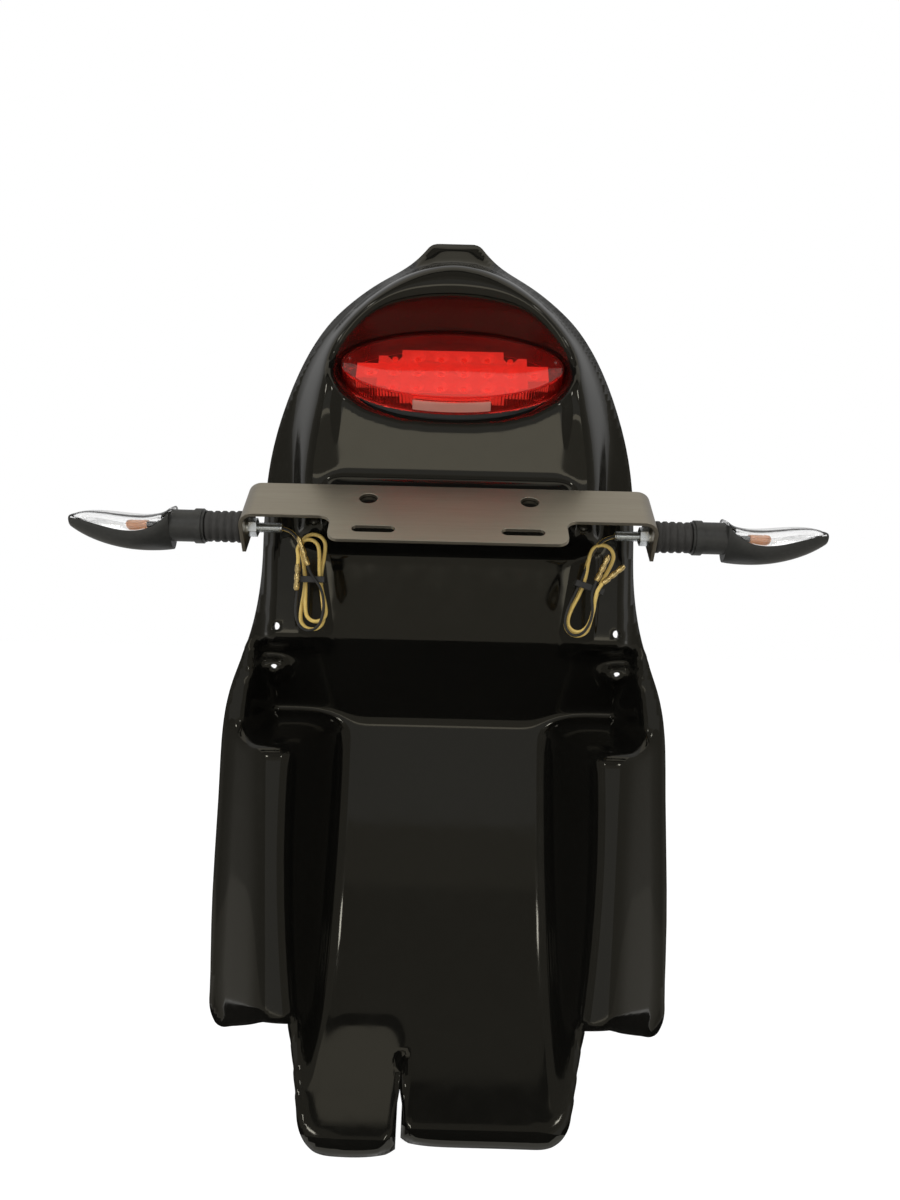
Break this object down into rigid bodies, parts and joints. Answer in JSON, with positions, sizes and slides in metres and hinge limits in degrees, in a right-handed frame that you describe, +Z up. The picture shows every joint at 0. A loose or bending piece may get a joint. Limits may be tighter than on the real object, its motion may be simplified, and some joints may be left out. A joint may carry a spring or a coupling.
{
  "type": "motorcycle undertail",
  "caption": "Black moulded motorcycle undertail with a wheel arch, oval red tail light, folded number-plate bracket, and indicators on ribbed rubber stems with tied leads",
  "frame": {"origin": "Midway between the two upper fixing holes, on the outer face of their pads", "axes": "+X to the right as seen by someone who looks at the lamp, +Z up the part towards the tail tip, -Y out of the underside. The part stands upright as pictured; on the machine it is tipped about X until the lamp faces straight back."},
  "size_m": [0.588, 0.1863, 0.694],
  "materials": {
    "gelcoat": "black gelcoat over glass-fibre laminate, glossy with slight waviness",
    "gasket_rubber": "matt black sealing rubber",
    "light_base": "dark moulded base with steel studs",
    "zinc_steel": "bright zinc-plated steel",
    "board": "pale moulded diode board with conical cups",
    "diode": "clear-tipped diodes",
    "red_lens": "translucent red acrylic, polished, finely ribbed wall",
    "clear_window": "clear acrylic window",
    "bracket": "mill-finish folded aluminium sheet, lightly scuffed",
    "stem_rubber": "matt black ribbed rubber",
    "indicator_plastic": "satin black moulding",
    "reflector": "vacuum-metallised reflector",
    "clear_lens": "clear moulded lens",
    "amber_bulb": "amber glass bulb",
    "yellow_sleeve": "yellow lead insulation",
    "black_sleeve": "black lead insulation and tie",
    "brass": "bright brass bullet terminals"
  },
  "bodies": {
    "root": {"undertail_shell": "gelcoat", "light_gasket": "gasket_rubber", "light_base": "light_base", "light_nuts": "zinc_steel", "diode_board": "board", "diodes": "diode", "light_lens": "red_lens", "plate_window": "clear_window", "plate_bracket": "bracket", "indicator_studs": "zinc_steel", "indicator_washers": "zinc_steel", "indicator_nuts": "zinc_steel", "left_indicator_stem": "stem_rubber", "left_indicator_collar": "indicator_plastic", "left_indicator_body": "indicator_plastic", "left_indicator_reflector": "reflector", "left_indicator_lens": "clear_lens", "left_indicator_holder": "indicator_plastic", "left_indicator_bulb": "amber_bulb", "left_live_lead": "yellow_sleeve", "left_earth_lead": "black_sleeve", "left_hank": "yellow_sleeve", "left_hank_tie": "black_sleeve", "left_bullets": "brass", "right_indicator_stem": "stem_rubber", "right_indicator_collar": "indicator_plastic", "right_indicator_body": "indicator_plastic", "right_indicator_reflector": "reflector", "right_indicator_lens": "clear_lens", "right_indicator_holder": "indicator_plastic", "right_indicator_bulb": "amber_bulb", "right_live_lead": "yellow_sleeve", "right_earth_lead": "black_sleeve", "right_hank": "yellow_sleeve", "right_hank_tie": "black_sleeve", "right_bullets": "brass"}
  },
  "joints": []
}
